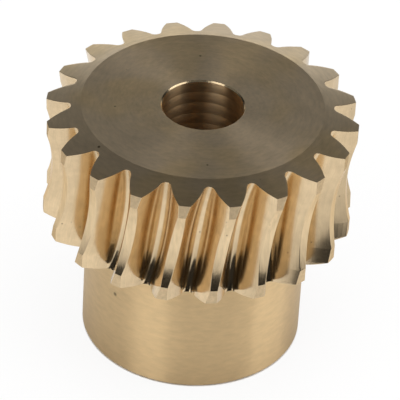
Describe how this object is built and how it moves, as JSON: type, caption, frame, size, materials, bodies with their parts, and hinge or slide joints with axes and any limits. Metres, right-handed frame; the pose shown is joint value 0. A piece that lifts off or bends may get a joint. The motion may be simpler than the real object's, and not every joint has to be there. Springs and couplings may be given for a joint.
{
  "type": "worm wheel",
  "caption": "One-piece bronze worm wheel with a throated rim of slanted teeth, a plain round hub on one side and a through bore for a shaft.",
  "frame": {"origin": "centre of the hub's end face, on the bore axis", "axes": "+Z along the bore axis from the hub's end face to the toothed rim; one tooth is centred on -Y at half the rim width"},
  "size_m": [0.046, 0.046, 0.04],
  "materials": {
    "bronze": "satin"
  },
  "bodies": {
    "root": {"worm_wheel": "bronze"}
  },
  "joints": []
}
